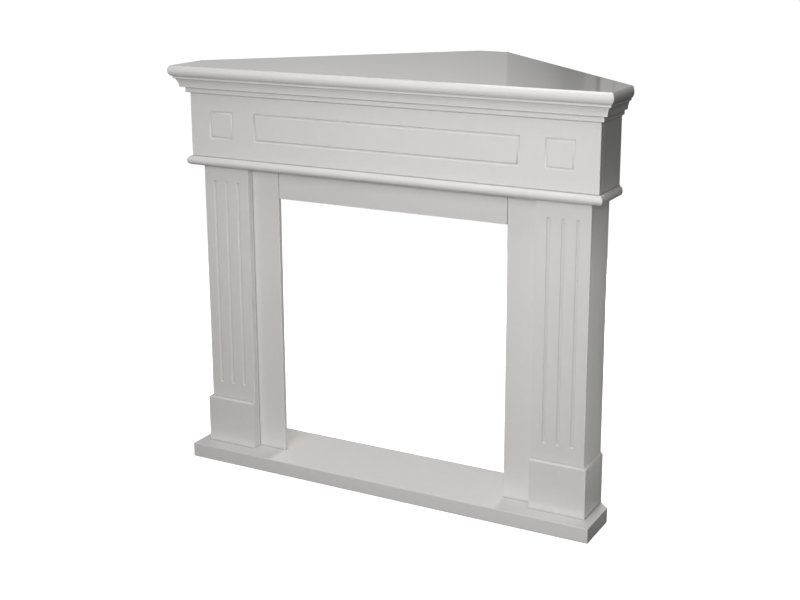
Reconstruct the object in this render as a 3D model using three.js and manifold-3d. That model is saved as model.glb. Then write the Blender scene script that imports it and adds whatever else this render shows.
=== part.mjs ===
// A white corner fireplace surround (mantel) in painted board.
//
// Right-hand pieces are drawn once and mirrored for the left. All lengths are in millimetres, +Z is up and
// the front faces -Y. While the pieces are drawn, y = 0 is the front edge of the base slab and x = 0 the
// middle; at the end the whole surround is moved so that its origin is the centre of its box, on the floor.

import * as THREE from 'three';
import { mergeVertices } from 'three/addons/utils/BufferGeometryUtils.js';
import Module from 'manifold-3d';

const wasm = await Module();
wasm.setup();

// ---------------------------------------------------------------- driving dimensions

const BOARD = 16; // ordinary carcass board
const THIN_BOARD = 10; // legs and header around the fire opening
const GAP = 0.3; // clearance at every slanting or bored joint

const WALL_UPPER = 684; // the walls stand at x + y = 684 for the shelf and frieze
const WALL_LOWER = 661; // the lower half stops short of the walls, clear of a skirting board

const SLAB_HALF = 535;
const SLAB_REAR = 199;
const SLAB_TOP = 35;

const PLINTH_OUTER = 511;
const PLINTH_FRONT = 41;
const PLINTH_THICK = 24.5;
const PLINTH_SHOULDER = 152.5; // where the sloping top starts
const PLINTH_TOP = 155.5;

const PILASTER_INNER = 375.5;
const PILASTER_OUTER = 503;
const PILASTER_FRONT = 49.5;
const PILASTER_INNER_DEPTH = 158; // rear edge of the inner side board

const OPENING_HALF = 300.5;
const OPENING_TOP = 683;
const SURROUND_FRONT = 69.5;
const HEADER_GAP = 1; // shadow gap between the header and each leg

const FLUTE = { spacing: 34, radius: 4.5, depth: 3, low: 195, high: 716 };

const LEDGE_BOTTOM = 755;
const LEDGE_TOP = 777;
const FRIEZE_HALF = 524.5;
const FRIEZE_FRONT = 33;
const GROOVE = { half: 3.5, depth: 2.2, flat: 0.15, low: 826, high: 887.5 };
const PANEL_HALF = 338.5; // half the length of the long panel inside its groove
const SQUARE = { inner: 404, outer: 466 }; // the small panel over each pilaster

const SHELF_BOTTOM = 973;
const SHELF_TOP = 998;
const SHELF_OVERHANG = 32.5; // from the frieze face to the top edge of the nosing
const NOSING_BULGE = 5.5;
const REAR_CLIP_HALF = 41; // half the width of the cut-off rear corner

const CROWN_BOTTOM = 932;
const COVE_BOTTOM = 945.5;
const COVE_TOP = 966.5;
const CROWN = { bed: 8, coveFoot: 18.5, coveHead: 25.5, topFillet: 29.5, lip: 2, hollow: 1.6 };

const RAIL_BOTTOM = 873;
const RIB_HEIGHT = 80;
const CORNER_BLOCK = { leg: 32, land: 6, short: 20 }; // short: how far it stops below the shelf
const BRACKET = { leg: 40, wide: 30, thick: 2, hole: 2.6, holeAt: 26 };
const FRIEZE_BRACKET_X = 190;
const RAIL_BRACKET_X = [160, 330];

const CAM = { radius: 7.5, depth: 12.5, slotHalf: 0.9, slotLong: 4, slotDepth: 3 };
const CAM_Y = [95, 132];
const CAM_Z = [60, 721];
const BLOCK_REAR = 115; // rear face of the blocks inside each pilaster
const BLOCK_SLACK = 1.5; // between those blocks and the inner side board
const FOOT_BLOCK_HEIGHT = 40;
const TOP_BLOCK_HEIGHT = 30;
const SCREW = { shank: 3, head: 6, headHeight: 4, sunk: 1, tip: 68, taper: 4 };
const SCREW_SOCKET = { radius: 2.3, depth: 2.5 };
const SCREW_INSET = 22;
const SCREW_Y = 90;

const BATTEN = { size: 20, short: 40 }; // short: how far it stops inside each side of the opening
const JOINT_PLATE = { half: 35, above: 6, below: 4 }; // clear of the opening above, of the ledge below it

const NOSING_STEPS = 12;
const COVE_STEPS = 8;
const GROOVE_STEPS = 5;
const ROUND_SIDES = 24;
const OVER = 1; // how far a cutting tool stands out past the face that it cuts

const REAR_CLIP = WALL_UPPER - REAR_CLIP_HALF;
const FRONTMOST = FRIEZE_FRONT - SHELF_OVERHANG - NOSING_BULGE;
const CENTRE_Y = (FRONTMOST + REAR_CLIP) / 2;
const PILASTER_MID = (PILASTER_INNER + PILASTER_OUTER) / 2;
const RAIL_INNER_WALL = WALL_UPPER - BOARD * Math.SQRT2; // x + y on the wall rails' inner faces
const SCREW_X = [PILASTER_INNER + BOARD + SCREW_INSET, PILASTER_OUTER - BOARD - SCREW_INSET];

// ---------------------------------------------------------------- geometry helpers

// Joins matching rings of points into one closed body. outline is the first ring seen flat, for its end faces.
function loft(rings, outline) {
  const flat = outline.map(([u, v]) => new THREE.Vector2(u, v));
  if (THREE.ShapeUtils.isClockWise(flat)) {
    return loft(rings.map((ring) => ring.toReversed()), outline.toReversed());
  }
  const count = flat.length;
  const last = (rings.length - 1) * count;
  const index = [];
  for (const [a, b, c] of THREE.ShapeUtils.triangulateShape(flat, [])) {
    index.push(a, b, c, last + a, last + c, last + b);
  }
  for (let ring = 0; ring < rings.length - 1; ring++) {
    for (let i = 0; i < count; i++) {
      const a = ring * count + i;
      const b = ring * count + ((i + 1) % count);
      index.push(b, a, a + count, b, a + count, b + count);
    }
  }
  const geometry = new THREE.BufferGeometry();
  geometry.setAttribute('position', new THREE.Float32BufferAttribute(rings.flat(2), 3));
  geometry.setIndex(index);
  return signedVolume(geometry) < 0 ? flipped(geometry) : geometry;
}

function signedVolume(geometry) {
  const p = geometry.getAttribute('position');
  const index = geometry.getIndex();
  const [a, b, c] = [new THREE.Vector3(), new THREE.Vector3(), new THREE.Vector3()];
  let volume = 0;
  for (let i = 0; i < index.count; i += 3) {
    a.fromBufferAttribute(p, index.getX(i));
    b.fromBufferAttribute(p, index.getX(i + 1));
    c.fromBufferAttribute(p, index.getX(i + 2));
    volume += a.dot(b.cross(c)) / 6;
  }
  return volume;
}

function flipped(geometry) {
  const index = geometry.getIndex();
  for (let i = 0; i < index.count; i += 3) {
    const first = index.getX(i);
    index.setX(i, index.getX(i + 1));
    index.setX(i + 1, first);
  }
  return geometry;
}

function mirrored(geometry) {
  const copy = geometry.clone();
  copy.scale(-1, 1, 1);
  return flipped(copy);
}

function box(x0, x1, y0, y1, z0, z1) {
  const geometry = new THREE.BoxGeometry(x1 - x0, y1 - y0, z1 - z0);
  geometry.translate((x0 + x1) / 2, (y0 + y1) / 2, (z0 + z1) / 2);
  return merged(geometry);
}

// An upright piece with the same plan at every height.
function upright(plan, z0, z1) {
  return loft([plan.map(([x, y]) => [x, y, z0]), plan.map(([x, y]) => [x, y, z1])], plan);
}

function merged(geometry) {
  const bare = geometry.clone();
  bare.deleteAttribute('normal');
  bare.deleteAttribute('uv');
  return mergeVertices(bare);
}

function toSolid(geometry) {
  const clean = merged(geometry);
  return new wasm.Manifold(
    new wasm.Mesh({
      numProp: 3,
      vertProperties: new Float32Array(clean.getAttribute('position').array),
      triVerts: new Uint32Array(clean.getIndex().array),
    }),
  );
}

function cut(geometry, tools) {
  let solid = toSolid(geometry);
  for (const tool of tools) solid = solid.subtract(toSolid(tool));
  const mesh = solid.getMesh();
  const result = new THREE.BufferGeometry();
  result.setAttribute('position', new THREE.BufferAttribute(mesh.vertProperties, 3));
  result.setIndex(new THREE.BufferAttribute(mesh.triVerts, 1));
  return result;
}

// A round bar or bore from one point to another along X, Y or Z.
function round(from, to, radius, sides = ROUND_SIDES) {
  const a = new THREE.Vector3(...from);
  const b = new THREE.Vector3(...to);
  const geometry = new THREE.CylinderGeometry(radius, radius, a.distanceTo(b), sides);
  const along = b.clone().sub(a).normalize();
  geometry.applyQuaternion(new THREE.Quaternion().setFromUnitVectors(new THREE.Vector3(0, 1, 0), along));
  const middle = a.add(b).multiplyScalar(0.5);
  geometry.translate(middle.x, middle.y, middle.z);
  return merged(geometry);
}

// ---------------------------------------------------------------- materials

function paint(colour, roughness, metalness = 0) {
  return new THREE.MeshStandardMaterial({ color: colour, roughness, metalness });
}

const WHITE_LACQUER = paint(0xe9e8e6, 0.35);
const RAW_BOARD = paint(0xb89468, 0.85);
const SOFTWOOD = paint(0xd8b988, 0.8);
const ZINC = paint(0xb9bcc0, 0.4, 0.9);

const surround = new THREE.Group();

function add(name, geometry, material) {
  const mesh = new THREE.Mesh(geometry, material);
  mesh.name = name;
  surround.add(mesh);
}

function addPair(name, geometry, material) {
  add(`${name}_right`, geometry, material);
  add(`${name}_left`, mirrored(geometry), material);
}

// ---------------------------------------------------------------- mouldings

// The plan of the upper half at a distance out from the frieze face. Its rear edge is rearHalf wide each way.
function upperPlan(out, rearHalf) {
  const half = FRIEZE_HALF + out;
  return [
    [-half, FRIEZE_FRONT - out],
    [half, FRIEZE_FRONT - out],
    [half, WALL_UPPER - half],
    [rearHalf, WALL_UPPER - rearHalf],
    [-rearHalf, WALL_UPPER - rearHalf],
    [-half, WALL_UPPER - half],
  ];
}

// A board with that plan and a bulging edge, given as distances and heights.
function edgedBoard(edge, rearHalf) {
  const rings = edge.map(([out, z]) => upperPlan(out, rearHalf).map(([x, y]) => [x, y, z]));
  return loft(rings, upperPlan(0, rearHalf));
}

// Distances and heights up a bulging edge between two heights, as an arc of a circle.
function bulgingEdge(out, low, high, bulge, steps) {
  const halfHeight = (high - low) / 2;
  const radius = (halfHeight ** 2 + bulge ** 2) / (2 * bulge);
  const sweep = Math.asin(Math.min(1, halfHeight / radius));
  const points = [];
  for (let i = 0; i <= steps; i++) {
    const angle = sweep * ((2 * i) / steps - 1);
    points.push([out + radius * Math.cos(angle) - (radius - bulge), low + halfHeight + radius * Math.sin(angle)]);
  }
  return points;
}

function topShelf() {
  const edge = bulgingEdge(SHELF_OVERHANG, SHELF_BOTTOM, SHELF_TOP, NOSING_BULGE, NOSING_STEPS);
  return edgedBoard(edge, REAR_CLIP_HALF);
}

// A half-round edge on the front and both ends; behind the frieze returns the board stops square.
function ledgeBoard() {
  const radius = (LEDGE_TOP - LEDGE_BOTTOM) / 2;
  const edge = bulgingEdge(0, LEDGE_BOTTOM, LEDGE_TOP, radius, NOSING_STEPS);
  return edgedBoard(edge, FRIEZE_HALF - BOARD);
}

// The crown's section, as distance out from the frieze face and height: bed, step, cove and top fillet.
function crownSection() {
  const { bed, coveFoot, coveHead, topFillet, lip, hollow } = CROWN;
  const section = [
    [0, SHELF_BOTTOM],
    [0, CROWN_BOTTOM],
    [bed, CROWN_BOTTOM],
    [bed, COVE_BOTTOM],
    [coveFoot, COVE_BOTTOM],
  ];
  const rise = COVE_TOP - COVE_BOTTOM - lip;
  for (let i = 0; i <= COVE_STEPS; i++) {
    const t = i / COVE_STEPS;
    const out = coveFoot + (coveHead - coveFoot) * t - hollow * Math.sin(Math.PI * t);
    section.push([out, COVE_BOTTOM + lip + rise * t]);
  }
  section.push([topFillet, COVE_TOP], [topFillet, SHELF_BOTTOM]);
  return section;
}

function crownFront() {
  const section = crownSection();
  const end = (side) => section.map(([out, z]) => [side * (FRIEZE_HALF + out - GAP), FRIEZE_FRONT - out, z]);
  return loft([end(-1), end(1)], section);
}

function crownReturn() {
  const section = crownSection();
  const mitre = section.map(([out, z]) => [FRIEZE_HALF + out, FRIEZE_FRONT - out + GAP, z]);
  const wall = section.map(([out, z]) => [FRIEZE_HALF + out, WALL_UPPER - FRIEZE_HALF - out, z]);
  return loft([mitre, wall], section);
}

// ---------------------------------------------------------------- upper half

// Half-widths and depths from the face to the bottom of a groove cut by a round-nosed bit.
function grooveArc() {
  const { half, depth, flat } = GROOVE;
  const radius = (half ** 2 + depth ** 2) / (2 * depth);
  const sweep = Math.asin(half / radius);
  const points = [];
  for (let i = 0; i <= GROOVE_STEPS; i++) {
    const angle = sweep * (1 - i / GROOVE_STEPS);
    points.push([Math.max(radius * Math.sin(angle), flat), radius * Math.cos(angle) - radius + depth]);
  }
  return points;
}

// What a groove round a rectangle takes out of the frieze: an outer tapering block less an inner one.
function groove(x0, x1) {
  const tapering = (side) => {
    const ring = (halfWidth, depth) => {
      const spread = side * halfWidth;
      const y = FRIEZE_FRONT + depth;
      return [
        [x0 - spread, y, GROOVE.low - spread],
        [x1 + spread, y, GROOVE.low - spread],
        [x1 + spread, y, GROOVE.high + spread],
        [x0 - spread, y, GROOVE.high + spread],
      ];
    };
    const rings = [ring(GROOVE.half, -OVER), ...grooveArc().map(([halfWidth, depth]) => ring(halfWidth, depth))];
    return loft(rings, rings[0].map(([x, , z]) => [x, z]));
  };
  return cut(tapering(1), [tapering(-1)]);
}

function friezeFront() {
  const blank = box(-FRIEZE_HALF, FRIEZE_HALF, FRIEZE_FRONT, FRIEZE_FRONT + BOARD, LEDGE_TOP, SHELF_BOTTOM);
  return cut(blank, [
    groove(-PANEL_HALF, PANEL_HALF),
    groove(SQUARE.inner, SQUARE.outer),
    groove(-SQUARE.outer, -SQUARE.inner),
  ]);
}

function friezeSide() {
  const inner = FRIEZE_HALF - BOARD;
  const plan = [
    [inner, FRIEZE_FRONT + BOARD],
    [FRIEZE_HALF, FRIEZE_FRONT + BOARD],
    [FRIEZE_HALF, WALL_UPPER - FRIEZE_HALF],
    [inner, WALL_UPPER - inner],
  ];
  return upright(plan, LEDGE_TOP, SHELF_BOTTOM);
}

function wallRail() {
  const start = FRIEZE_HALF - BOARD - GAP;
  const rearInner = REAR_CLIP - BOARD;
  const plan = [
    [start, WALL_UPPER - start],
    [REAR_CLIP_HALF, REAR_CLIP],
    [RAIL_INNER_WALL - rearInner, rearInner],
    [start, RAIL_INNER_WALL - start],
  ];
  return upright(plan, RAIL_BOTTOM, SHELF_BOTTOM);
}

function rearRail() {
  const rearInner = REAR_CLIP - BOARD;
  const outer = REAR_CLIP_HALF - 2 * GAP;
  const inner = RAIL_INNER_WALL - rearInner - 2 * GAP;
  const plan = [
    [-inner, rearInner],
    [inner, rearInner],
    [outer, REAR_CLIP],
    [-outer, REAR_CLIP],
  ];
  return upright(plan, RAIL_BOTTOM, SHELF_BOTTOM);
}

function shelfRib() {
  const y0 = FRIEZE_FRONT + BOARD;
  return box(-BOARD / 2, BOARD / 2, y0, REAR_CLIP - BOARD, SHELF_BOTTOM - RIB_HEIGHT, SHELF_BOTTOM);
}

function friezeCornerBlock() {
  const x = FRIEZE_HALF - BOARD;
  const y = FRIEZE_FRONT + BOARD;
  const { leg, land, short } = CORNER_BLOCK;
  const plan = [
    [x, y],
    [x, y + leg],
    [x - land, y + leg],
    [x - leg, y + land],
    [x - leg, y],
  ];
  return upright(plan, LEDGE_TOP, SHELF_BOTTOM - short);
}

// ---------------------------------------------------------------- lower half

function flute(x) {
  const { radius, depth, low, high } = FLUTE;
  const geometry = new THREE.CapsuleGeometry(radius, high - low - 2 * radius, 5, ROUND_SIDES);
  geometry.rotateX(Math.PI / 2);
  geometry.translate(x, PILASTER_FRONT - radius + depth, (low + high) / 2);
  return geometry;
}

function pilasterFront() {
  const y1 = PILASTER_FRONT + BOARD;
  const blank = box(PILASTER_INNER, PILASTER_OUTER, PILASTER_FRONT, y1, PLINTH_TOP, LEDGE_BOTTOM);
  return cut(blank, [-1, 0, 1].map((step) => flute(PILASTER_MID + step * FLUTE.spacing)));
}

function camPlaces() {
  return CAM_Z.flatMap((z) => CAM_Y.map((y) => [y, z]));
}

function pilasterOuterSide() {
  const inner = PILASTER_OUTER - BOARD;
  const y0 = PILASTER_FRONT + BOARD;
  const plan = [
    [inner, y0],
    [PILASTER_OUTER, y0],
    [PILASTER_OUTER, WALL_LOWER - PILASTER_OUTER],
    [inner, WALL_LOWER - inner],
  ];
  return upright(plan, PLINTH_TOP, LEDGE_BOTTOM);
}

// Carries the cam locks that pull the column down on the slab and up under the ledge.
function pilasterInnerSide() {
  const y0 = PILASTER_FRONT + BOARD;
  const x1 = PILASTER_INNER + BOARD;
  const blank = box(PILASTER_INNER, x1, y0, PILASTER_INNER_DEPTH, SLAB_TOP, LEDGE_BOTTOM);
  const bores = camPlaces().map(([y, z]) => round([x1 - CAM.depth, y, z], [x1 + OVER, y, z], CAM.radius));
  return cut(blank, bores);
}

// A cam lock just below the face of the board, with a cross slot for a screwdriver.
function camLock(y, z) {
  const x1 = PILASTER_INNER + BOARD - GAP;
  const x0 = PILASTER_INNER + BOARD - CAM.depth + GAP;
  const { slotHalf: half, slotLong: long, slotDepth: deep } = CAM;
  const body = round([x0, y, z], [x1, y, z], CAM.radius - GAP);
  return cut(body, [
    box(x1 - deep, x1 + OVER, y - half, y + half, z - long, z + long),
    box(x1 - deep, x1 + OVER, y - long, y + long, z - half, z + half),
  ]);
}

// Two boards with sloping tops make each foot: the front one runs across the end of the side one.
function plinthFront() {
  const y1 = PLINTH_FRONT + PLINTH_THICK;
  const ring = (x1, y0, z) => [
    [PILASTER_INNER, y0, z],
    [x1, y0, z],
    [x1, y1, z],
    [PILASTER_INNER, y1, z],
  ];
  const foot = ring(PLINTH_OUTER, PLINTH_FRONT, SLAB_TOP);
  const shoulder = ring(PLINTH_OUTER, PLINTH_FRONT, PLINTH_SHOULDER);
  const top = ring(PILASTER_OUTER, PILASTER_FRONT, PLINTH_TOP);
  return loft([foot, shoulder, top], foot.map(([x, y]) => [x, y]));
}

function plinthSide() {
  const x0 = PILASTER_OUTER - BOARD;
  const y0 = PLINTH_FRONT + PLINTH_THICK;
  const ring = (x1, z) => [
    [x0, y0, z],
    [x1, y0, z],
    [x1, WALL_LOWER - x1, z],
    [x0, WALL_LOWER - x0, z],
  ];
  const foot = ring(PLINTH_OUTER, SLAB_TOP);
  const rings = [foot, ring(PLINTH_OUTER, PLINTH_SHOULDER), ring(PILASTER_OUTER, PLINTH_TOP)];
  return loft(rings, foot.map(([x, y]) => [x, y]));
}

function screwBore(x, z0, z1) {
  return round([x, SCREW_Y, z0], [x, SCREW_Y, z1], SCREW.shank + GAP);
}

function baseSlab() {
  const plan = [
    [-SLAB_HALF, 0],
    [SLAB_HALF, 0],
    [SLAB_HALF, WALL_LOWER - SLAB_HALF],
    [WALL_LOWER - SLAB_REAR, SLAB_REAR],
    [SLAB_REAR - WALL_LOWER, SLAB_REAR],
    [-SLAB_HALF, WALL_LOWER - SLAB_HALF],
  ];
  const seat = SCREW.sunk + SCREW.headHeight + GAP;
  const bores = [-1, 1].flatMap((side) =>
    SCREW_X.flatMap((x) => [
      screwBore(side * x, -OVER, SLAB_TOP + OVER),
      round([side * x, SCREW_Y, -OVER], [side * x, SCREW_Y, seat], SCREW.head + GAP),
    ]),
  );
  return cut(upright(plan, 0, SLAB_TOP), bores);
}

// A furniture screw up through the slab: flat head with a hexagon socket, plain shank.
function baseScrew(x) {
  const { shank, head, headHeight, sunk, tip, taper } = SCREW;
  const outline = [
    [0, sunk],
    [head, sunk],
    [head, sunk + headHeight],
    [shank, sunk + headHeight],
    [shank, tip - taper],
    [0, tip],
  ];
  const turned = new THREE.LatheGeometry(outline.map(([r, z]) => new THREE.Vector2(r, z)), ROUND_SIDES);
  turned.rotateX(Math.PI / 2);
  turned.translate(x, SCREW_Y, 0);
  const { radius, depth } = SCREW_SOCKET;
  const socket = round([x, SCREW_Y, sunk - OVER], [x, SCREW_Y, sunk + depth], radius, 6);
  return cut(turned, [socket]);
}

function footBlock() {
  const x0 = PILASTER_INNER + BOARD + BLOCK_SLACK;
  const y0 = PLINTH_FRONT + PLINTH_THICK;
  const blank = box(x0, PILASTER_OUTER - BOARD, y0, BLOCK_REAR, SLAB_TOP, SLAB_TOP + FOOT_BLOCK_HEIGHT);
  return cut(blank, SCREW_X.map((x) => screwBore(x, SLAB_TOP - OVER, SCREW.tip + OVER)));
}

function topBlock() {
  const x0 = PILASTER_INNER + BOARD + BLOCK_SLACK;
  const y0 = PILASTER_FRONT + BOARD;
  return box(x0, PILASTER_OUTER - BOARD, y0, BLOCK_REAR, LEDGE_BOTTOM - TOP_BLOCK_HEIGHT, LEDGE_BOTTOM);
}

function leg() {
  const y1 = SURROUND_FRONT + THIN_BOARD;
  return box(OPENING_HALF, PILASTER_INNER, SURROUND_FRONT, y1, SLAB_TOP, LEDGE_BOTTOM);
}

function header() {
  const half = OPENING_HALF - HEADER_GAP;
  return box(-half, half, SURROUND_FRONT, SURROUND_FRONT + THIN_BOARD, OPENING_TOP, LEDGE_BOTTOM);
}

function headerBatten() {
  const y0 = SURROUND_FRONT + THIN_BOARD;
  const half = OPENING_HALF - BATTEN.short;
  return box(-half, half, y0, y0 + BATTEN.size, LEDGE_BOTTOM - BATTEN.size, LEDGE_BOTTOM);
}

// Laps the butt joint between the header and a leg from behind.
function jointPlate() {
  const y0 = SURROUND_FRONT + THIN_BOARD;
  const { half, above, below } = JOINT_PLATE;
  const [z0, z1] = [OPENING_TOP + above, LEDGE_BOTTOM - below];
  return box(OPENING_HALF - half, OPENING_HALF + half, y0, y0 + THIN_BOARD, z0, z1);
}

// ---------------------------------------------------------------- steel angle brackets under the shelf

// Drawn with its upright leg on the plane y = 0 facing -Y and its other leg under z = 0, centred on x = 0.
function angleBracket() {
  const { leg: long, wide, thick, hole, holeAt: at } = BRACKET;
  const section = [
    [0, 0],
    [0, -long],
    [-thick, -long],
    [-thick, -thick],
    [-long, -thick],
    [-long, 0],
  ];
  const side = (x) => section.map(([y, z]) => [x, y, z]);
  const blank = loft([side(-wide / 2), side(wide / 2)], section);
  return cut(blank, [
    round([0, -thick - OVER, -at], [0, OVER, -at], hole),
    round([0, -at, -thick - OVER], [0, -at, OVER], hole),
  ]);
}

function addBracket(name, x, y, turn) {
  const mesh = new THREE.Mesh(angleBracket(), ZINC);
  mesh.name = name;
  mesh.position.set(x, y, SHELF_BOTTOM - GAP);
  mesh.rotation.z = turn;
  surround.add(mesh);
}

// ---------------------------------------------------------------- assembly

add('top_shelf', topShelf(), WHITE_LACQUER);
add('crown_front', crownFront(), WHITE_LACQUER);
addPair('crown_return', crownReturn(), WHITE_LACQUER);
add('frieze_front', friezeFront(), WHITE_LACQUER);
addPair('frieze_side', friezeSide(), WHITE_LACQUER);
add('ledge_board', ledgeBoard(), WHITE_LACQUER);
add('header', header(), WHITE_LACQUER);
addPair('leg', leg(), WHITE_LACQUER);
addPair('pilaster_front', pilasterFront(), WHITE_LACQUER);
addPair('pilaster_outer_side', pilasterOuterSide(), WHITE_LACQUER);
addPair('pilaster_inner_side', pilasterInnerSide(), WHITE_LACQUER);
addPair('plinth_front', plinthFront(), WHITE_LACQUER);
addPair('plinth_side', plinthSide(), WHITE_LACQUER);
add('base_slab', baseSlab(), WHITE_LACQUER);

addPair('wall_rail', wallRail(), RAW_BOARD);
add('rear_rail', rearRail(), RAW_BOARD);
add('shelf_rib', shelfRib(), RAW_BOARD);
addPair('joint_plate', jointPlate(), RAW_BOARD);
addPair('frieze_corner_block', friezeCornerBlock(), SOFTWOOD);
addPair('pilaster_top_block', topBlock(), SOFTWOOD);
addPair('pilaster_foot_block', footBlock(), SOFTWOOD);
add('header_batten', headerBatten(), SOFTWOOD);

camPlaces().forEach(([y, z], i) => addPair(`cam_lock_${i + 1}`, camLock(y, z), ZINC));
SCREW_X.forEach((x, i) => addPair(`base_screw_${i + 1}`, baseScrew(x), ZINC));

for (const side of [-1, 1]) {
  const hand = side > 0 ? 'right' : 'left';
  addBracket(`frieze_bracket_${hand}`, side * FRIEZE_BRACKET_X, FRIEZE_FRONT + BOARD + GAP, Math.PI);
  const inset = (GAP * Math.SQRT2) / 2;
  const turn = (-side * Math.PI) / 4;
  RAIL_BRACKET_X.forEach((x, i) => {
    addBracket(`rail_bracket_${i + 1}_${hand}`, side * (x - inset), RAIL_INNER_WALL - x - inset, turn);
  });
}

surround.position.y = -CENTRE_Y;

export default surround;
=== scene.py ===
import math

import bmesh
import bpy
from mathutils import Matrix, Vector


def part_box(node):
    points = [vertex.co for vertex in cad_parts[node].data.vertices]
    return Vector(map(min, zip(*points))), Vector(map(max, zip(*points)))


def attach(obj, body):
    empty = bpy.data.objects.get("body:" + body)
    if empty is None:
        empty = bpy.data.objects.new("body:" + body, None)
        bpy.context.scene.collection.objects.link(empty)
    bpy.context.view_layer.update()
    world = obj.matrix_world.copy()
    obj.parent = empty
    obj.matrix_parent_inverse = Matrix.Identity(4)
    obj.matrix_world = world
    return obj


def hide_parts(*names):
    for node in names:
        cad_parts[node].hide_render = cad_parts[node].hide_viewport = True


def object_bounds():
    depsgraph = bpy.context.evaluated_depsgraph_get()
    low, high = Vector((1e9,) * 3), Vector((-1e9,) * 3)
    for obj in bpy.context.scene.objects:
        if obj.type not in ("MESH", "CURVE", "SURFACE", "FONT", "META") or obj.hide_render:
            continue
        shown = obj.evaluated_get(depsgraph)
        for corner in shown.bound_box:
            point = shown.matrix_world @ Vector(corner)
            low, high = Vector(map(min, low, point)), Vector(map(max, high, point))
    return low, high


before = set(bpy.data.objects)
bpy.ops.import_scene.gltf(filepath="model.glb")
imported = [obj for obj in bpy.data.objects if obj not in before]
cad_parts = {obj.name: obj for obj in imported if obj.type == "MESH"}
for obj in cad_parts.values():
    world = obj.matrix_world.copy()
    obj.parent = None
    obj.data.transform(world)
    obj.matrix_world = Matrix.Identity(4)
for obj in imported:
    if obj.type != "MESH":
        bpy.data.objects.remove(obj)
cad_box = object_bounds()

MM = 0.001
HANDS = {"right": 1, "left": -1}
SAME_PLACE = 0.01 * MM  # points closer than this are one point
SAME_WAY = 0.995  # a face looks one way when the cosine between its normal and that way is above this
FLAT = math.radians(1)  # faces that meet at less than this are one face
EASED = math.radians(28)  # an edge steeper than this is eased
SHARP = math.radians(38)  # on a piece without eased edges, an edge steeper than this stays sharp
SQUARE = math.radians(80)  # only the rim of a board is steeper than this
EDGE_STEPS = 3

# ---------------------------------------------------------------- places read from the frame

frieze_low, frieze_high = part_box("frieze_front")
frieze_side_low, frieze_side_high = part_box("frieze_side_right")
shelf_low, shelf_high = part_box("top_shelf")
ledge_low, ledge_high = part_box("ledge_board")
crown_low, crown_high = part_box("crown_front")

FRIEZE_HALF = frieze_high.x
FRIEZE_FACE = frieze_low.y
BOARD = frieze_high.y - frieze_low.y
WALL = frieze_side_low.x + frieze_side_high.y  # x + y along the wall behind the upper half
SHELF_REAR = shelf_high.y
REAR_CLIP_HALF = WALL - SHELF_REAR

# ---------------------------------------------------------------- shapes


def rounded(points, radii, steps=4):
    """A closed outline with each corner turned into a short curve of about that radius."""
    outline = []
    for i, point in enumerate(points):
        corner = Vector(point)
        if radii[i] == 0:
            outline.append(corner)
            continue
        back = (Vector(points[i - 1]) - corner).normalized()
        ahead = (Vector(points[(i + 1) % len(points)]) - corner).normalized()
        reach = radii[i] / math.tan(back.angle(ahead) / 2)
        start = corner + back * reach
        end = corner + ahead * reach
        for step in range(steps + 1):
            t = step / steps
            outline.append(start * (1 - t) ** 2 + corner * 2 * t * (1 - t) + end * t * t)
    return outline


def loft(rings):
    """One closed body through rings that have the same number of points."""
    bm = bmesh.new()
    rows = [[bm.verts.new(point) for point in ring] for ring in rings]
    count = len(rows[0])
    for low, high in zip(rows, rows[1:]):
        for i in range(count):
            j = (i + 1) % count
            bm.faces.new((low[i], low[j], high[j], high[i]))
    bm.faces.new(list(reversed(rows[0])))
    bm.faces.new(rows[-1])
    return bm


def cad_shape(node):
    """A CAD node's shape with each flat face as one polygon."""
    bm = bmesh.new()
    bm.from_mesh(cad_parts[node].data)
    bmesh.ops.remove_doubles(bm, verts=bm.verts, dist=SAME_PLACE)
    bmesh.ops.dissolve_limit(bm, angle_limit=FLAT, verts=bm.verts, edges=bm.edges)
    bmesh.ops.recalc_face_normals(bm, faces=bm.faces)
    return bm


def directions(words, side):
    """Unit vectors for words such as "back" and "out", on the surround's right (1) or left (-1) side."""
    known = {
        "in": (-side, 0, 0),
        "out": (side, 0, 0),
        "front": (0, -1, 0),
        "back": (0, 1, 0),
        "bottom": (0, 0, -1),
        "top": (0, 0, 1),
        "wall": (side, 1, 0),
    }
    return [Vector(known[word]).normalized() for word in words.split()]


def looks_one_way(face, ways):
    """Whether a face looks in one of these directions."""
    return any(face.normal.dot(way) > SAME_WAY for way in ways)


def weigh_edges(bm, soft, crisp, joints):
    """Bevel weights: every real edge is soft, but an edge of a face that meets a neighbour is crisp."""
    layer = bm.edges.layers.float.new("bevel_weight_edge")
    for edge in bm.edges:
        if len(edge.link_faces) == 2 and edge.calc_face_angle() > EASED:
            meets = any(looks_one_way(face, joints) for face in edge.link_faces)
            edge[layer] = crisp / soft if meets else 1.0


def mark_bare(bm, bare):
    """Faces that look in one of these directions were never painted."""
    layer = bm.loops.layers.float.new("bare")
    for face in bm.faces:
        value = 1.0 if looks_one_way(face, bare) else 0.0
        for loop in face.loops:
            loop[layer] = value


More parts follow.
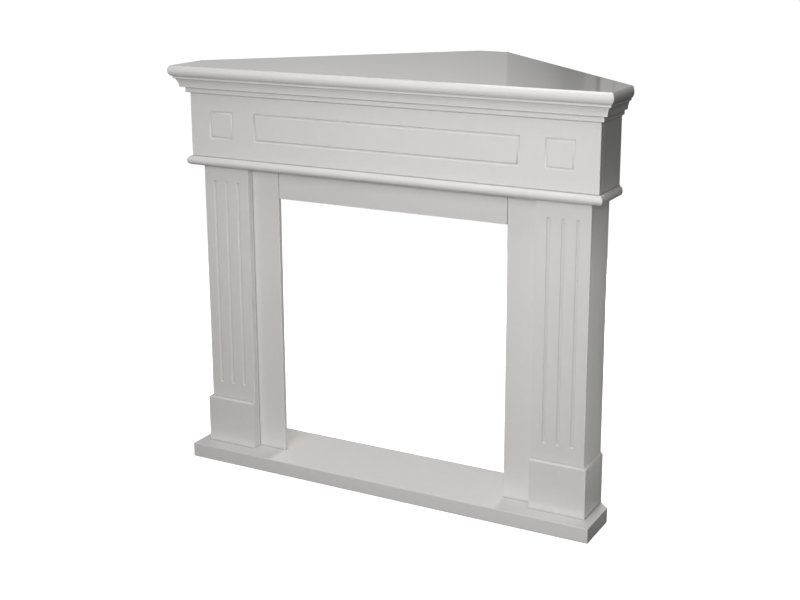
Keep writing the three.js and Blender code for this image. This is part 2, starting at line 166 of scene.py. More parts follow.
def piece(name, bm, finish, nodes, bare=(), bevel=None):
    """Turns a bmesh into a finished piece that replaces CAD nodes.

    finish is (material, slot), and the slot is not used; bare holds the ways that unpainted faces look, and
    bevel is (width, steps).
    """
    material, slot = finish
    bmesh.ops.recalc_face_normals(bm, faces=bm.faces)
    for face in bm.faces:
        face.smooth = True
    if bevel is None:
        for edge in bm.edges:
            edge.smooth = len(edge.link_faces) == 2 and edge.calc_face_angle() < SHARP
    mark_bare(bm, bare)
    mesh = bpy.data.meshes.new(name)
    bm.to_mesh(mesh)
    bm.free()
    mesh.materials.append(material)
    made = bpy.data.objects.new(name, mesh)
    bpy.context.scene.collection.objects.link(made)
    if bevel is not None:
        edges = made.modifiers.new("eased_edges", "BEVEL")
        edges.limit_method = "WEIGHT"
        edges.offset_type = "OFFSET"
        edges.width, edges.segments = bevel
        edges.use_clamp_overlap = False
    normals = made.modifiers.new("flat_faces", "WEIGHTED_NORMAL")
    normals.keep_sharp = True
    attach(made, "root")
    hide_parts(*nodes)


# ---------------------------------------------------------------- materials


class Shader:
    """A Principled material with short calls for the nodes that feed it."""

    def __init__(self, name):
        self.material = bpy.data.materials.new(name)
        self.material.use_nodes = True
        self.tree = self.material.node_tree
        self.main = self.tree.nodes["Principled BSDF"]
        self.place = self.tree.nodes.new("ShaderNodeTexCoord").outputs["Object"]

    def put(self, socket, source):
        if isinstance(source, bpy.types.NodeSocket):
            self.tree.links.new(source, socket)
        else:
            socket.default_value = source

    def node(self, kind, output=0, inputs=(), **settings):
        made = self.tree.nodes.new(kind)
        for key, value in settings.items():
            setattr(made, key, value)
        for key, value in dict(inputs).items():
            self.put(made.inputs[key], value)
        return made.outputs[output]

    def stretched(self, scale):
        return self.node("ShaderNodeMapping", inputs={"Vector": self.place, "Scale": scale})

    def noise(self, scale, detail=3.0, roughness=0.5, vector=None):
        inputs = {
            "Vector": vector or self.place,
            "Scale": scale,
            "Detail": detail,
            "Roughness": roughness,
        }
        return self.node("ShaderNodeTexNoise", "Fac", inputs)

    def ranged(self, value, from_low, from_high, to_low, to_high):
        inputs = {
            "Value": value,
            "From Min": from_low,
            "From Max": from_high,
            "To Min": to_low,
            "To Max": to_high,
        }
        return self.node("ShaderNodeMapRange", 0, inputs, clamp=True)

    def math(self, operation, a, b):
        return self.node("ShaderNodeMath", 0, {0: a, 1: b}, operation=operation)

    def mix(self, factor, a, b):
        return self.node("ShaderNodeMix", 2, {0: factor, 6: a, 7: b}, data_type="RGBA")

    def scaled(self, colour, factor):
        """A colour times a grey factor."""
        return self.node("ShaderNodeVectorMath", 0, {0: colour, "Scale": factor}, operation="SCALE")

    def attribute(self, name):
        return self.node("ShaderNodeAttribute", "Fac", attribute_name=name)

    def painted_crease_shade(self):
        """Painted shade: up to 0.85 in the bottom of a sharp inner corner or joint, 0 out in the open."""
        inputs = {"Distance": 4 * MM}
        open_sky = self.node("ShaderNodeAmbientOcclusion", "AO", inputs, samples=8)
        return self.ranged(open_sky, 0.55, 0.98, 0.85, 0.0)

    def painted_edge_highlight(self):
        """Painted highlight: up to 0.9 on outer edges, 0 elsewhere."""
        inputs = {"Distance": 2.2 * MM}
        inside = self.node("ShaderNodeAmbientOcclusion", "AO", inputs, samples=8, inside=True)
        return self.ranged(inside, 0.50, 0.92, 0.9, 0.0)


    def bump(self, height, strength, distance, under=None):
        inputs = {"Height": height, "Strength": strength, "Distance": distance}
        if under is not None:
            inputs["Normal"] = under
        return self.node("ShaderNodeBump", 0, inputs)

    def finish(self, **inputs):
        for key, value in inputs.items():
            self.put(self.main.inputs[key.replace("_", " ")], value)
        return self.material


def fibreboard(shader):
    """Colour and height of bare medium-density fibreboard, with painted shade in its creases."""
    fibres = shader.noise(700, 4, 0.7, shader.stretched((1.0, 1.0, 0.35)))
    clouds = shader.noise(14, 3)
    flecks = shader.ranged(shader.noise(1500, 1, 0.4), 0.60, 0.74, 0, 1)
    tone = shader.mix(fibres, (0.42, 0.30, 0.19, 1), (0.60, 0.46, 0.31, 1))
    tone = shader.mix(shader.math("MULTIPLY", flecks, 0.55), tone, (0.24, 0.15, 0.085, 1))
    tone = shader.scaled(tone, shader.ranged(clouds, 0.3, 0.7, 0.92, 1.08))
    # Painted shade: dark brown in inner corners and joints.
    tone = shader.mix(shader.painted_crease_shade(), tone, (0.13, 0.085, 0.05, 1))
    return tone, fibres


def make_lacquer(name, roughness, coat, coat_roughness, ripple):
    """Sprayed white lacquer, with painted shade in its creases and painted highlights on its outer edges, and
    bare fibreboard with a little overspray on unpainted faces.

    roughness is (lowest, highest) over the surface, and ripple scales the waves left by the spray gun.
    """
    shader = Shader(name)
    drift = shader.noise(5, 2)
    mottle = shader.noise(60, 3, 0.6)
    white = shader.mix(drift, (0.762, 0.753, 0.745, 1), (0.797, 0.788, 0.782, 1))
    white = shader.scaled(white, shader.ranged(mottle, 0.3, 0.7, 0.99, 1.01))
    dust = shader.ranged(shader.noise(900, 1, 0.3), 0.72, 0.80, 0, 0.10)
    white = shader.mix(dust, white, (0.42, 0.40, 0.37, 1))
    # Painted shade: grey in inner corners and joints.
    white = shader.mix(shader.painted_crease_shade(), white, (0.36, 0.348, 0.33, 1))
    # Painted highlight: near-white along outer edges.
    white = shader.mix(shader.painted_edge_highlight(), white, (0.95, 0.948, 0.94, 1))

    board, fibres = fibreboard(shader)
    bare = shader.attribute("bare")
    overspray = shader.ranged(shader.noise(9, 4, 0.65), 0.52, 0.80, 0, 0.45)
    board = shader.mix(overspray, board, (0.62, 0.60, 0.56, 1))

    painted = shader.ranged(shader.noise(28, 4, 0.6), 0.3, 0.7, *roughness)
    peel = shader.noise(420, 2, 0.45)
    waves = shader.noise(22, 2, 0.4)
    surface = shader.bump(waves, 0.01 * ripple, 1 * MM)
    surface = shader.bump(peel, 0.03 * ripple, 0.2 * MM, surface)
    surface = shader.bump(fibres, shader.math("MULTIPLY", bare, 0.25), 0.3 * MM, surface)
    return shader.finish(
        Base_Color=shader.mix(bare, white, board),
        Roughness=shader.math("MAXIMUM", painted, shader.math("MULTIPLY", bare, 0.85)),
        Normal=surface,
        Coat_Weight=coat,
        Coat_Roughness=coat_roughness,
        Specular_IOR_Level=0.5,
    )


def make_raw_board():
    shader = Shader("raw_board")
    tone, fibres = fibreboard(shader)
    saw = shader.noise(60, 3, 0.6, shader.stretched((1.0, 1.0, 14.0)))
    height = shader.math("ADD", fibres, shader.math("MULTIPLY", saw, 0.6))
    return shader.finish(Base_Color=tone, Roughness=0.86, Normal=shader.bump(height, 0.35, 0.4 * MM))


def make_softwood(grain):
    """Planed pine, with painted shade in its creases. grain is the axis that its fibres follow."""
    shader = Shader(f"softwood_along_{grain.lower()}")

    def drawn_out(share):
        return shader.stretched([share if axis == grain else 1.0 for axis in "XYZ"])

    along = drawn_out(0.10)
    swirl = shader.noise(9, 3, 0.55, along)
    inputs = {"Vector": along, "Scale": 55, "Distortion": 6.0, "Detail": 2, "Detail Scale": 1.2}
    rings = shader.node(
        "ShaderNodeTexWave", "Fac", inputs, wave_type="RINGS", rings_direction=grain
    )
    late = shader.ranged(rings, 0.45, 0.95, 0, 1)
    tone = shader.mix(late, (0.66, 0.47, 0.27, 1), (0.47, 0.285, 0.135, 1))
    tone = shader.scaled(tone, shader.ranged(swirl, 0.3, 0.7, 0.90, 1.10))
    pores = shader.noise(900, 2, 0.6, drawn_out(0.06))
    tone = shader.mix(shader.ranged(pores, 0.55, 0.8, 0, 0.5), tone, (0.34, 0.20, 0.10, 1))
    # Painted shade: dark brown in inner corners and joints.
    tone = shader.mix(shader.painted_crease_shade(), tone, (0.15, 0.09, 0.045, 1))
    height = shader.math("ADD", shader.math("MULTIPLY", pores, 0.6), late)
    return shader.finish(Base_Color=tone, Roughness=0.72, Normal=shader.bump(height, 0.25, 0.3 * MM))


def make_zinc():
    shader = Shader("zinc_plated_steel")
    spangle = shader.node("ShaderNodeTexVoronoi", "Color", {"Vector": shader.place, "Scale": 420})
    patch = shader.node("ShaderNodeSeparateColor", 0, {0: spangle})
    scratches = shader.noise(300, 3, 0.7, shader.stretched((1.0, 9.0, 9.0)))
    tint = shader.mix(shader.noise(45, 2), (0.56, 0.585, 0.62, 1), (0.66, 0.655, 0.61, 1))
    tone = shader.scaled(tint, shader.ranged(patch, 0, 1, 0.9, 1.08))
    gloss = shader.ranged(scratches, 0.35, 0.7, 0.26, 0.46)
    return shader.finish(
        Base_Color=tone,
        Metallic=1.0,
        Roughness=gloss,
        Normal=shader.bump(scratches, 0.15, 0.1 * MM),
    )


# Each finish is a material and a slot name.
PAINT = (
    make_lacquer("white_lacquer", roughness=(0.30, 0.40), coat=0.15, coat_roughness=0.12, ripple=1.0),
    "white_lacquer",
)
SHELF_PAINT = (
    make_lacquer("white_lacquer_shelf", roughness=(0.012, 0.02), coat=0.30, coat_roughness=0.01, ripple=0.02),
    "white_lacquer",
)
RAW_BOARD = (make_raw_board(), "raw_board")
UPRIGHT_WOOD = (make_softwood("Z"), "softwood")
LEVEL_WOOD = (make_softwood("X"), "softwood")
ZINC = (make_zinc(), "zinc_plated_steel")

# ---------------------------------------------------------------- plain boards


def board(node, side, joints, bare="", soft=1.5, crisp=0.3, finish=PAINT):
    """A board with the CAD node's shape: eased edges, and crisp ones where it meets a neighbour.

    joints and bare are words for the ways that such faces look. soft and crisp are widths in millimetres.
    """
    bm = cad_shape(node)
    weigh_edges(bm, soft, crisp, directions(joints, side))
    bevel = (soft * MM, EDGE_STEPS)
    piece(f"{node}_board", bm, finish, [node], directions(bare, side), bevel)


def add_painted_boards():
    board("base_slab", 1, "bottom", "bottom")
    board("header", 1, "back top", "back", soft=1.0)
    for hand, side in HANDS.items():
        board(f"frieze_side_{hand}", side, "front top bottom wall in", "in wall", crisp=1.2)
        board(f"leg_{hand}", side, "back top bottom out", "back out", soft=1.0)
        board(f"pilaster_inner_side_{hand}", side, "front top bottom back out", "out back")
        board(f"pilaster_outer_side_{hand}", side, "front top bottom in wall", "in wall")
        board(f"plinth_front_{hand}", side, "back bottom", "back")
        board(f"plinth_side_{hand}", side, "front bottom in wall", "in wall")


def add_hidden_boards():
    raw = {"finish": RAW_BOARD, "soft": 1.0}
    upright = {"finish": UPRIGHT_WOOD, "soft": 1.2}
    level = {"finish": LEVEL_WOOD, "soft": 1.2}
    board("rear_rail", 1, "", **raw)
    board("shelf_rib", 1, "", **raw)
    board("header_batten", 1, "", **level)
    for hand, side in HANDS.items():
        board(f"wall_rail_{hand}", side, "", **raw)
        board(f"joint_plate_{hand}", side, "", **raw)
        board(f"frieze_corner_block_{hand}", side, "", **upright)
        board(f"pilaster_top_block_{hand}", side, "", **level)
        board(f"pilaster_foot_block_{hand}", side, "", **level)


# ---------------------------------------------------------------- mouldings

CORNER_ROUND = 2 * MM
# The ways that the faces against the two walls and across the cut-off corner look.
REAR_FACES = directions("wall back", 1) + directions("wall", -1)


def upper_plan(out, rear_points):
    """The upper half seen from above, at a distance out from the frieze face."""
    half = FRIEZE_HALF + out
    front = FRIEZE_FACE - out
    points = [(-half, front), (half, front), (half, WALL - half)]
    points += rear_points + [(-half, WALL - half)]
    radii = [CORNER_ROUND, CORNER_ROUND] + [0] * (len(points) - 2)
    return rounded(points, radii, 5)


def edge_moulded(section, rear_points):
    """A level board whose edge follows (distance out, height) points, from the bottom up."""
    rings = []
    for out, height in section:
        rings.append([(point.x, point.y, height) for point in upper_plan(out, rear_points)])
    return loft(rings)


def bulging_edge(out, low, high, bulge, steps):
    """(Distance out, height) points up an edge that bulges as part of a circle."""
    half_height = (high - low) / 2
    radius = (half_height**2 + bulge**2) / (2 * bulge)
    sweep = math.asin(min(1, half_height / radius))
    edge = []
    for i in range(steps + 1):
        angle = sweep * (2 * i / steps - 1)
        distance = out + radius * math.cos(angle) - (radius - bulge)
        edge.append((distance, low + half_height + radius * math.sin(angle)))
    return edge


def add_top_shelf():
    bulge = 5.5 * MM
    rim = 3 * MM  # the flat strip inside the nosing, above and below
    lower_round, upper_round = 1.2 * MM, 1.0 * MM
    out = FRIEZE_FACE - shelf_low.y - bulge
    nosing = bulging_edge(out, shelf_low.z, shelf_high.z, bulge, 16)
    section = [(out - rim, shelf_low.z)] + nosing + [(out - rim, shelf_high.z)]
    radii = [0, lower_round] + [0] * (len(nosing) - 2) + [upper_round, 0]
    rear = [(REAR_CLIP_HALF, SHELF_REAR), (-REAR_CLIP_HALF, SHELF_REAR)]
    bm = edge_moulded(rounded(section, radii), rear)
    piece("top_shelf_board", bm, SHELF_PAINT, ["top_shelf"], REAR_FACES)


def add_ledge_board():
    radius = (ledge_high.z - ledge_low.z) / 2
    inner = FRIEZE_HALF - BOARD
    rear = [(inner, WALL - inner), (-inner, WALL - inner)]
    half_round = bulging_edge(0, ledge_low.z, ledge_high.z, radius, 24)
    bm = edge_moulded(half_round, rear)
    piece("ledge_board_moulded", bm, PAINT, ["ledge_board"], REAR_FACES)


def crown_section():
    """The crown's outline, with its bed, step, cove and top fillet.

    The points are (distance out from the frieze face, height).
    """
    low, high = crown_low.z, crown_high.z
    bed_out, step_height = 8 * MM, low + 13.5 * MM
    cove_foot, cove_low = 18.5 * MM, step_height + 2 * MM
    cove_head, cove_high = 25.5 * MM, low + 34.5 * MM
    hollow = 1.6 * MM
    top_out = FRIEZE_FACE - crown_low.y
    steps = 18
    cove = []
    for i in range(steps + 1):
        share = i / steps
        out = cove_foot + (cove_head - cove_foot) * share - hollow * math.sin(math.pi * share)
        cove.append((out, cove_low + (cove_high - cove_low) * share))
    points = [(0, high), (0, low), (bed_out, low), (bed_out, step_height), (cove_foot, step_height)]
    points += cove + [(top_out, cove_high), (top_out, high)]
    bed_radii = [1.0 * MM, 0.3 * MM, 0.7 * MM]
    top_radii = [0.9 * MM, 1.2 * MM]
    return rounded(points, [0, 0] + bed_radii + [0] * len(cove) + top_radii)


def add_crown():
    section = crown_section()
    gap = 0.15 * MM  # how far each length stops short of the mitre
    ends = []
    for side in (-1, 1):
        ends.append([(side * (FRIEZE_HALF + out - gap), FRIEZE_FACE - out, z) for out, z in section])
    piece("crown_front_moulding", loft(ends), PAINT, ["crown_front"], directions("back", 1))
    for hand, side in HANDS.items():
        mitre = [(side * (FRIEZE_HALF + out), FRIEZE_FACE - out + gap, z) for out, z in section]
        wall = [(side * (FRIEZE_HALF + out), WALL - FRIEZE_HALF - out, z) for out, z in section]
        node = f"crown_return_{hand}"
        piece(f"{node}_moulding", loft([mitre, wall]), PAINT, [node], directions("in wall", side))


# ---------------------------------------------------------------- grooved boards


def groove_profile(half_width, depth, land):
    """(Distance from the groove's middle, depth) points across a groove cut by a round-nosed bit.

    land is the flat strip of the face on either side.
    """
    radius = (half_width**2 + depth**2) / (2 * depth)
    sweep = math.asin(half_width / radius)
    lip = 0.35 * MM
    steps = 12
    arc = []
    for i in range(steps + 1):
        angle = sweep * (1 - 2 * i / steps)
        arc.append((radius * math.sin(angle), radius * math.cos(angle) - radius + depth))
    points = [(half_width + land, 0)] + arc + [(-half_width - land, 0)]
    radii = [0, lip] + [0] * (len(arc) - 2) + [lip, 0]
    return rounded(points, radii, 3)


class FaceGrid:
    """The front face of a board, split by straight lines so that holes fit between them."""

    def __init__(self, bm, columns, rows, y):
        self.bm = bm
        self.verts = [[bm.verts.new((x, y, z)) for x in columns] for z in rows]

    def cell(self, row, column):
        low, high = self.verts[row], self.verts[row + 1]
        return low[column], low[column + 1], high[column + 1], high[column]

    def fill(self, holes):
        """Adds a face in every cell that isn't a hole."""
        for row in range(len(self.verts) - 1):
            for column in range(len(self.verts[0]) - 1):
                if (row, column) not in holes:
                    self.bm.faces.new(self.cell(row, column))

    def close_behind(self, y):
        """Adds the board's four edges and its back."""
        first, last = self.verts[0], self.verts[-1]
        corners = [first[0], first[-1], last[-1], last[0]]
        back = [self.bm.verts.new((v.co.x, y, v.co.z)) for v in corners]
        runs = [
            first,
            [row[-1] for row in self.verts],
            list(reversed(last)),
            [row[0] for row in reversed(self.verts)],
        ]
        for i, run in enumerate(runs):
            self.bm.faces.new(run + [back[(i + 1) % 4], back[i]])
        self.bm.faces.new(back)


def strip(bm, first, second):
    """Quads between two closed loops of vertices."""
    for i in range(len(first)):
        j = (i + 1) % len(first)
        bm.faces.new((first[i], first[j], second[j], second[i]))


def sink_rectangle(bm, cell, profile, left, right, bottom, top, y):
    """A groove round a rectangle, from the cell's corners in to the raised field."""
    loop = list(cell)
    for spread, depth in profile[1:]:
        corners = [
            (left - spread, bottom - spread),
            (right + spread, bottom - spread),
            (right + spread, top + spread),
            (left - spread, top + spread),
        ]
        inner = [bm.verts.new((x, y + depth, z)) for x, z in corners]
        strip(bm, loop, inner)
        loop = inner
    bm.faces.new(loop)


def weigh_rim(bm, low, high, soft, crisp):
    """Soft front arrises at the two upright ends, crisp edges everywhere else on the rim."""
    layer = bm.edges.layers.float.new("bevel_weight_edge")
    for edge in bm.edges:
        if len(edge.link_faces) != 2 or edge.calc_face_angle() < SQUARE:
            continue
        start, end = (vertex.co for vertex in edge.verts)
        upright = abs(start.x - end.x) < SAME_PLACE
        at_end = min(abs(start.x - low.x), abs(start.x - high.x)) < SAME_PLACE
        in_front = max(abs(start.y - low.y), abs(end.y - low.y)) < SAME_PLACE
        edge[layer] = 1.0 if upright and at_end and in_front else crisp / soft


def finish_grooved(node, bm, low, high, soft, crisp):
    """Eases the rim of a board whose front face has been cut, and makes it a piece."""
    bmesh.ops.recalc_face_normals(bm, faces=bm.faces)
    weigh_rim(bm, low, high, soft, crisp)
    piece(f"{node}_board", bm, PAINT, [node], directions("back", 1), (soft * MM, EDGE_STEPS))


def add_frieze_front():
    low, high = frieze_low, frieze_high
    half_width, depth, land = 3.5 * MM, 2.2 * MM, 0.8 * MM
    bottom = low.z + 49 * MM
    top = bottom + 61.5 * MM
    panel_half, square_inner, square_outer = 338.5 * MM, 404 * MM, 466 * MM
    fields = [(-square_outer, -square_inner), (-panel_half, panel_half), (square_inner, square_outer)]

    spread = half_width + land
    columns = [low.x]
    for left, right in fields:
        columns += [left - spread, right + spread]
    columns.append(high.x)
    rows = [low.z, bottom - spread, top + spread, high.z]
    holes = [(1, 2 * i + 1) for i in range(len(fields))]

    bm = bmesh.new()
    grid = FaceGrid(bm, columns, rows, low.y)
    grid.fill(holes)
    profile = groove_profile(half_width, depth, land)
    for hole, (left, right) in zip(holes, fields):
        sink_rectangle(bm, grid.cell(*hole), profile, left, right, bottom, top, low.y)
    grid.close_behind(high.y)
    finish_grooved("frieze_front", bm, low, high, soft=1.5, crisp=1.2)


def flute_profile(radius, depth):
    """(Half-width, depth) points from the face down to the bottom of a flute cut by a round-nosed bit."""
    above = radius - depth
    start = math.asin(above / radius)
    land, lip, bottom_half = 0.8 * MM, 0.9 * MM, 0.25 * MM
    steps = 8
    arc = []
    for i in range(steps):
        angle = start + (math.pi / 2 - start) * i / steps
        arc.append((radius * math.cos(angle), radius * math.sin(angle) - above))
    mouth = arc[0][0]
    points = [(mouth + land, 0)] + arc + [(bottom_half, depth)]
    radii = [0, lip] + [0] * (len(points) - 2)
    return rounded(points, radii)


def stadium(x, low, high, radius):
    """A long hole with round ends, anticlockwise from the lowest point."""
    steps = 6
    # (height of the centre, first angle, number of points) for each quarter turn
    quarters = [
        (low, -math.pi / 2, steps + 1),
        (high, 0, steps),
        (high, math.pi / 2, steps + 1),
        (low, math.pi, steps),
    ]
    points = []
    for middle, start, count in quarters:
        for i in range(count):
            angle = start + math.pi / 2 * i / steps
            points.append((x + radius * math.cos(angle), middle + radius * math.sin(angle)))
    return points


def sink_flute(bm, cell, profile, x, low, high, y):
    """A flute in a rectangular cell of the face.

    Four polygons join the cell's corners to the mouth, and rings go from there down to the bottom.
    """
    rings = []
    for radius, depth in profile:
        outline = stadium(x, low, high, radius)
        rings.append([bm.verts.new((across, y + depth, up)) for across, up in outline])
    mouth = rings[0]
    half = len(mouth) // 2
    low_left, low_right, high_right, high_left = cell
    bm.faces.new([low_left, low_right, mouth[0]])
    bm.faces.new([high_right, high_left, mouth[half]])
    bm.faces.new([low_right, high_right] + list(reversed(mouth[: half + 1])))
    bm.faces.new([high_left, low_left, mouth[0]] + list(reversed(mouth[half:])))
    for first, second in zip(rings, rings[1:]):
        strip(bm, first, second)
    bm.faces.new(rings[-1])


def add_pilaster_front(hand):
    node = f"pilaster_front_{hand}"
    low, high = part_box(node)
    spacing, radius, depth = 34 * MM, 4.5 * MM, 3 * MM
    lowest, highest = 195 * MM, 716 * MM  # the flutes' ends above the floor
    flute_low = lowest + radius
    flute_high = highest - radius
    middle = (low.x + high.x) / 2
    centres = [middle + step * spacing for step in (-1, 0, 1)]

    columns = [low.x, centres[0] - spacing / 2] + [centre + spacing / 2 for centre in centres] + [high.x]
    rows = [low.z, flute_low - 2 * radius, flute_high + 2 * radius, high.z]
    holes = [(1, i + 1) for i in range(len(centres))]

    bm = bmesh.new()
    grid = FaceGrid(bm, columns, rows, low.y)
    grid.fill(holes)
    profile = flute_profile(radius, depth)
    for hole, centre in zip(holes, centres):
        sink_flute(bm, grid.cell(*hole), profile, centre, flute_low, flute_high, low.y)
    grid.close_behind(high.y)
    finish_grooved(node, bm, low, high, soft=1.5, crisp=0.3)


# ---------------------------------------------------------------- steel fittings


def turned(bm, rings, matrix, sides=32):
    """A turned part from (radius function or number, height) rings, closed at both ends."""
    rows = []
    for radius, height in rings:
        row = []
        for i in range(sides):
            angle = 2 * math.pi * i / sides
            r = radius(angle) if callable(radius) else radius
            row.append(bm.verts.new(matrix @ Vector((r * math.cos(angle), r * math.sin(angle), height))))
        rows.append(row)
    for first, second in zip(rows, rows[1:]):
        strip(bm, first, second)
    bm.faces.new(list(reversed(rows[0])))
    bm.faces.new(rows[-1])


def cross(arm, half_width):
    """Radius of a cross-shaped recess at each angle."""

    def radius(angle):
        off = abs((angle + math.pi / 4) % (math.pi / 2) - math.pi / 4)
        return min(arm, half_width / max(math.sin(off), 1e-3))

    return radius


def screw_head(bm, matrix):
    """A domed wood screw head with a cross recess, standing on the plane z = 0, and its shank below."""
    # (radius, height) and, for the recess, (arm, half-width, height), in millimetres
    shank = [(0.5, -13), (1.6, -9), (1.8, -0.6)]
    dome = [(4.1, -0.2), (4.3, 0.3), (4.0, 1.2), (3.3, 1.9), (2.5, 2.2)]
    recess = [(2.0, 0.5, 2.25), (1.8, 0.4, 1.0), (0.9, 0.3, 0.6)]
    rings = [(radius * MM, height * MM) for radius, height in shank + dome]
    for arm, half_width, height in recess:
        rings.append((cross(arm * MM, half_width * MM), height * MM))
    turned(bm, rings, matrix)


def strip_section(half_width, thick, ease):
    """A flat strip's section with eased corners, as (across, depth) points."""
    return [
        (-half_width + ease, 0),
        (half_width - ease, 0),
        (half_width, ease),
        (half_width, thick - ease),
        (half_width - ease, thick),
        (-half_width + ease, thick),
        (-half_width, thick - ease),
        (-half_width, ease),
    ]


def bracket_path(long, bend, end_round):
    """(Place on the outer face, way in, distance from the end) along a bracket, seen from the side.

    One leg has its outer face on y = 0 and the other on z = 0. They meet in a round bend.
    """
    from_end = [0, 0.4 * MM, 1.2 * MM, 2.4 * MM, 4.2 * MM, end_round]
    bend_steps = 8
    path = []
    for distance in from_end:
        path.append((Vector((0, distance - long)), Vector((-1, 0)), distance))
    for i in range(bend_steps + 1):
        angle = math.pi / 2 * i / bend_steps
        outward = Vector((math.cos(angle), math.sin(angle)))
        path.append((Vector((-bend, -bend)) + bend * outward, -outward, end_round))
    for distance in reversed(from_end):
        path.append((Vector((distance - long, 0)), Vector((0, -1)), distance))
    return path


def bracket(node, turn_by):
    """A bent strip with rounded ends and two screws, in the place of a plain angle bracket."""
    long, wide, thick, ease = 40 * MM, 30 * MM, 2 * MM, 0.35 * MM
    bend, end_round = 3.5 * MM, 7 * MM
    screw_from_bend = 26 * MM
    rings = []
    for outer, inward, distance in bracket_path(long, bend, end_round):
        cut = end_round - math.sqrt(end_round**2 - (end_round - distance) ** 2)
        ring = []
        for across, depth in strip_section(wide / 2 - cut, thick, ease):
            place = outer + inward * depth
            ring.append((across, place.x, place.y))
        rings.append(ring)
    bm = loft(rings)
    screw_head(bm, Matrix.Translation((0, -thick, -screw_from_bend)) @ Matrix.Rotation(math.pi / 2, 4, "X"))
    screw_head(bm, Matrix.Translation((0, -screw_from_bend, -thick)) @ Matrix.Rotation(math.pi, 4, "X"))

    low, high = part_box(node)
    turn = Matrix.Rotation(turn_by, 4, "Z")
    middle = turn @ Vector((0, -long / 2, -long / 2))
    place = Matrix.Translation((low + high) / 2 - middle) @ turn
    bmesh.ops.transform(bm, matrix=place, verts=bm.verts)
    piece(f"{node}_steel", bm, ZINC, [node])


def fitting(node):
    """A small turned CAD part with fine eased edges."""
    ease = 0.25
    bm = cad_shape(node)
    weigh_edges(bm, ease, ease, [])
    piece(f"{node}_steel", bm, ZINC, [node], bevel=(ease * MM, 2))


def add_fittings():
    for hand, side in HANDS.items():
        bracket(f"frieze_bracket_{hand}", math.pi)
        for number in (1, 2):
            bracket(f"rail_bracket_{number}_{hand}", -side * math.pi / 4)
            fitting(f"base_screw_{number}_{hand}")
        for number in (1, 2, 3, 4):
            fitting(f"cam_lock_{number}_{hand}")


# ---------------------------------------------------------------- studio

# Brightness of the room at each heading, in degrees left of +Y.
ROOM = [
    (-180, 0.22),
    (-125, 0.18),
    (-80, 0.10),
    (-20, 0.08),
    (17, 0.10),
    (24, 0.49),
    (26, 0.52),
    (32, 0.56),
    (100, 0.45),
    (180, 0.22),
]
# The furniture and the doorway in its far corner, which the shelf mirrors.
FAR_CORNER = [
    (17.0, 0.064),
    (18.8, 0.291),
    (19.35, 0.291),
    (19.42, 0.182),
    (19.50, 0.291),
    (19.95, 0.291),
    (20.02, 0.081),
    (20.14, 0.081),
    (20.20, 0.198),
    (20.60, 0.19),
    (20.70, 0.131),
    (21.40, 0.135),
    (21.80, 0.198),
    (22.30, 0.266),
    (23.00, 0.316),
    (23.85, 0.366),
    (23.95, 0.476),
    (26.0, 0.509),
]
# Brightness above and below the walls, and the sine of the elevation at which each of them takes over.
CEILING = 0.09
CEILING_STARTS, CEILING_FULL = 0.28, 0.50
GROUND = 0.06
GROUND_FULL = -0.12


def add_floor():
    """A wide, flat white sheet that only the camera sees: it lights nothing and is mirrored in nothing."""
    half_size, gap = 60, 0.5 * MM
    shader = Shader("floor")
    tone = shader.mix(shader.noise(0.8, 2), (0.80, 0.80, 0.80, 1), (0.82, 0.82, 0.82, 1))
    material = shader.finish(
        Base_Color=tone,
        Roughness=0.9,
        Specular_IOR_Level=0.0,
        Emission_Color=(1, 1, 1, 1),
        Emission_Strength=0.93,
    )
    corners = [(-1, -1), (1, -1), (1, 1), (-1, 1)]
    mesh = bpy.data.meshes.new("floor")
    mesh.from_pydata([(x * half_size, y * half_size, 0) for x, y in corners], [], [(0, 1, 2, 3)])
    mesh.materials.append(material)
    floor = bpy.data.objects.new("floor", mesh)
    floor.location.z = cad_box[0].z - gap
    floor.visible_diffuse = False
    floor.visible_glossy = False
    bpy.context.scene.collection.objects.link(floor)


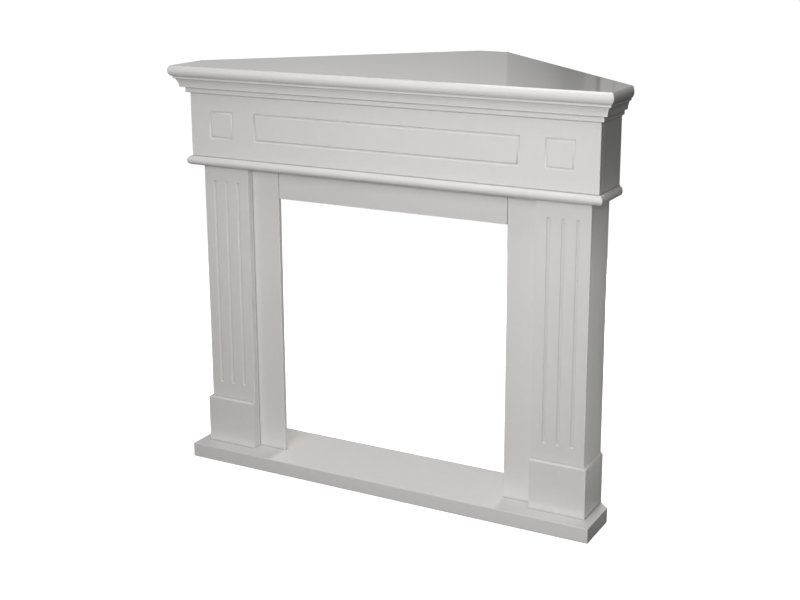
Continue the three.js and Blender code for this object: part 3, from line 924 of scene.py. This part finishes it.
def add_world():
    """White behind the object, and a soft room round it: bright on the left, dim on the right and below."""
    world = bpy.data.worlds.new("studio")
    world.use_nodes = True
    bpy.context.scene.world = world
    nodes, links = world.node_tree.nodes, world.node_tree.links
    nodes.clear()

    def node(kind, output=0, inputs=(), **settings):
        made = nodes.new(kind)
        for key, value in settings.items():
            setattr(made, key, value)
        for key, value in dict(inputs).items():
            if isinstance(value, bpy.types.NodeSocket):
                links.new(value, made.inputs[key])
            else:
                made.inputs[key].default_value = value
        return made.outputs[output]

    def calculated(operation, a, b=0.0):
        return node("ShaderNodeMath", 0, {0: a, 1: b}, operation=operation)

    def ramped(value, low, high):
        return node("ShaderNodeMapRange", 0, {"Value": value, "From Min": low, "From Max": high})

    def mixed(factor, a, b):
        return node("ShaderNodeMix", 0, {0: factor, 2: a, 3: b})

    def greys(heading, stops):
        """Grey that follows the heading through (degrees, grey) stops."""
        first, last = stops[0][0], stops[-1][0]
        colours = nodes.new("ShaderNodeValToRGB")
        links.new(ramped(heading, first, last), colours.inputs[0])
        elements = colours.color_ramp.elements
        while len(elements) < len(stops):
            elements.new(1.0)
        for element, (angle, grey) in zip(elements, stops):
            element.position = (angle - first) / (last - first)
            element.color = (grey, grey, grey, 1)
        return colours.outputs[0]

    parts = nodes.new("ShaderNodeSeparateXYZ")
    links.new(node("ShaderNodeTexCoord", "Generated"), parts.inputs[0])
    x, y, z = parts.outputs
    heading = calculated("ARCTAN2", calculated("MULTIPLY", x, -1.0), y)
    heading = calculated("MULTIPLY", heading, math.degrees(1))
    past_start = calculated("GREATER_THAN", heading, FAR_CORNER[0][0])
    before_end = calculated("LESS_THAN", heading, FAR_CORNER[-1][0])
    in_corner = calculated("MULTIPLY", past_start, before_end)
    walls = mixed(in_corner, greys(heading, ROOM), greys(heading, FAR_CORNER))
    strength = mixed(ramped(z, CEILING_STARTS, CEILING_FULL), walls, CEILING)
    strength = mixed(ramped(z, 0.0, GROUND_FULL), strength, GROUND)
    warm_white = (1.0, 0.995, 0.985, 1)
    room = node("ShaderNodeBackground", 0, {"Strength": strength, "Color": warm_white})
    white = node("ShaderNodeBackground", 0, {"Strength": 1.0, "Color": (1, 1, 1, 1)})
    seen = node("ShaderNodeLightPath", "Is Camera Ray")
    both = node("ShaderNodeMixShader", 0, {0: seen, 1: room, 2: white})
    out = nodes.new("ShaderNodeOutputWorld")
    links.new(both, out.inputs["Surface"])


def add_light(name, place, target, size, power, mirrored=True, spread=None):
    """A rectangular light. Where it isn't mirrored, glossy paint doesn't show it."""
    data = bpy.data.lights.new(name, "AREA")
    data.shape = "RECTANGLE"
    data.size, data.size_y = size
    data.energy = power
    if spread is not None:
        data.spread = math.radians(spread)
    light = bpy.data.objects.new(name, data)
    light.location = place
    light.rotation_mode = "QUATERNION"
    light.rotation_quaternion = (Vector(target) - Vector(place)).to_track_quat("-Z", "Y")
    light.visible_camera = False
    light.visible_glossy = mirrored
    bpy.context.scene.collection.objects.link(light)


def add_lights():
    add_light(
        "key",
        place=(0.36, -2.3, 1.42),
        target=(0.2, 0.0, 0.9),
        size=(0.8, 1.7),
        power=20.6,
        mirrored=False,
    )
    add_light(
        "fill",
        place=(0.3, -2.6, 0.5),
        target=(0.1, 0.0, 0.6),
        size=(0.8, 0.5),
        power=3.4,
        mirrored=False,
    )
    add_light(
        "overhead",
        place=(0.2, -0.9, 2.6),
        target=(0.0, -0.1, 0.0),
        size=(1.6, 1.0),
        power=14,
    )
    add_light(
        "flash",
        place=(1.40, -2.90, 1.62),
        target=(0.1, 0.0, 0.5),
        size=(0.20, 0.14),
        power=17,
    )
    add_light(
        "through_opening",
        place=(-0.12, 1.9, 0.68),
        target=(0.0, -0.2, 0.03),
        size=(0.8, 0.4),
        power=46,
        mirrored=False,
    )
    add_light(
        "low_side",
        place=(2.6, -0.235, 0.39),
        target=(0.5, -0.235, 0.39),
        size=(0.1, 0.66),
        power=0.125,
        spread=10,
    )


def add_camera():
    """A long lens from the right, above the shelf. Its shift sets the object a little higher in the frame."""
    place = (1.4750, -2.9156, 1.3568)
    yaw, pitch, roll = math.radians(28.44), math.radians(-14.20), math.radians(-0.23)
    level = Vector((-math.sin(yaw), math.cos(yaw), 0))
    right = Vector((math.cos(yaw), math.sin(yaw), 0))
    forward = level * math.cos(pitch) + Vector((0, 0, math.sin(pitch)))
    up = right.cross(forward)
    turned_right = right * math.cos(roll) + up * math.sin(roll)
    turned_up = up * math.cos(roll) - right * math.sin(roll)
    data = bpy.data.cameras.new("camera")
    data.sensor_width = 36
    data.lens = 60.85
    data.shift_y = -0.06
    data.clip_end = 200
    camera = bpy.data.objects.new("camera", data)
    axes = Matrix((turned_right, turned_up, -forward)).transposed()
    camera.matrix_world = Matrix.Translation(place) @ axes.to_4x4()
    bpy.context.scene.collection.objects.link(camera)
    bpy.context.scene.camera = camera


add_top_shelf()
add_crown()
add_frieze_front()
add_ledge_board()
for hand in HANDS:
    add_pilaster_front(hand)
add_painted_boards()
add_hidden_boards()
add_fittings()

bpy.context.scene.view_settings.view_transform = "Standard"
add_floor()
add_world()
add_lights()
add_camera()
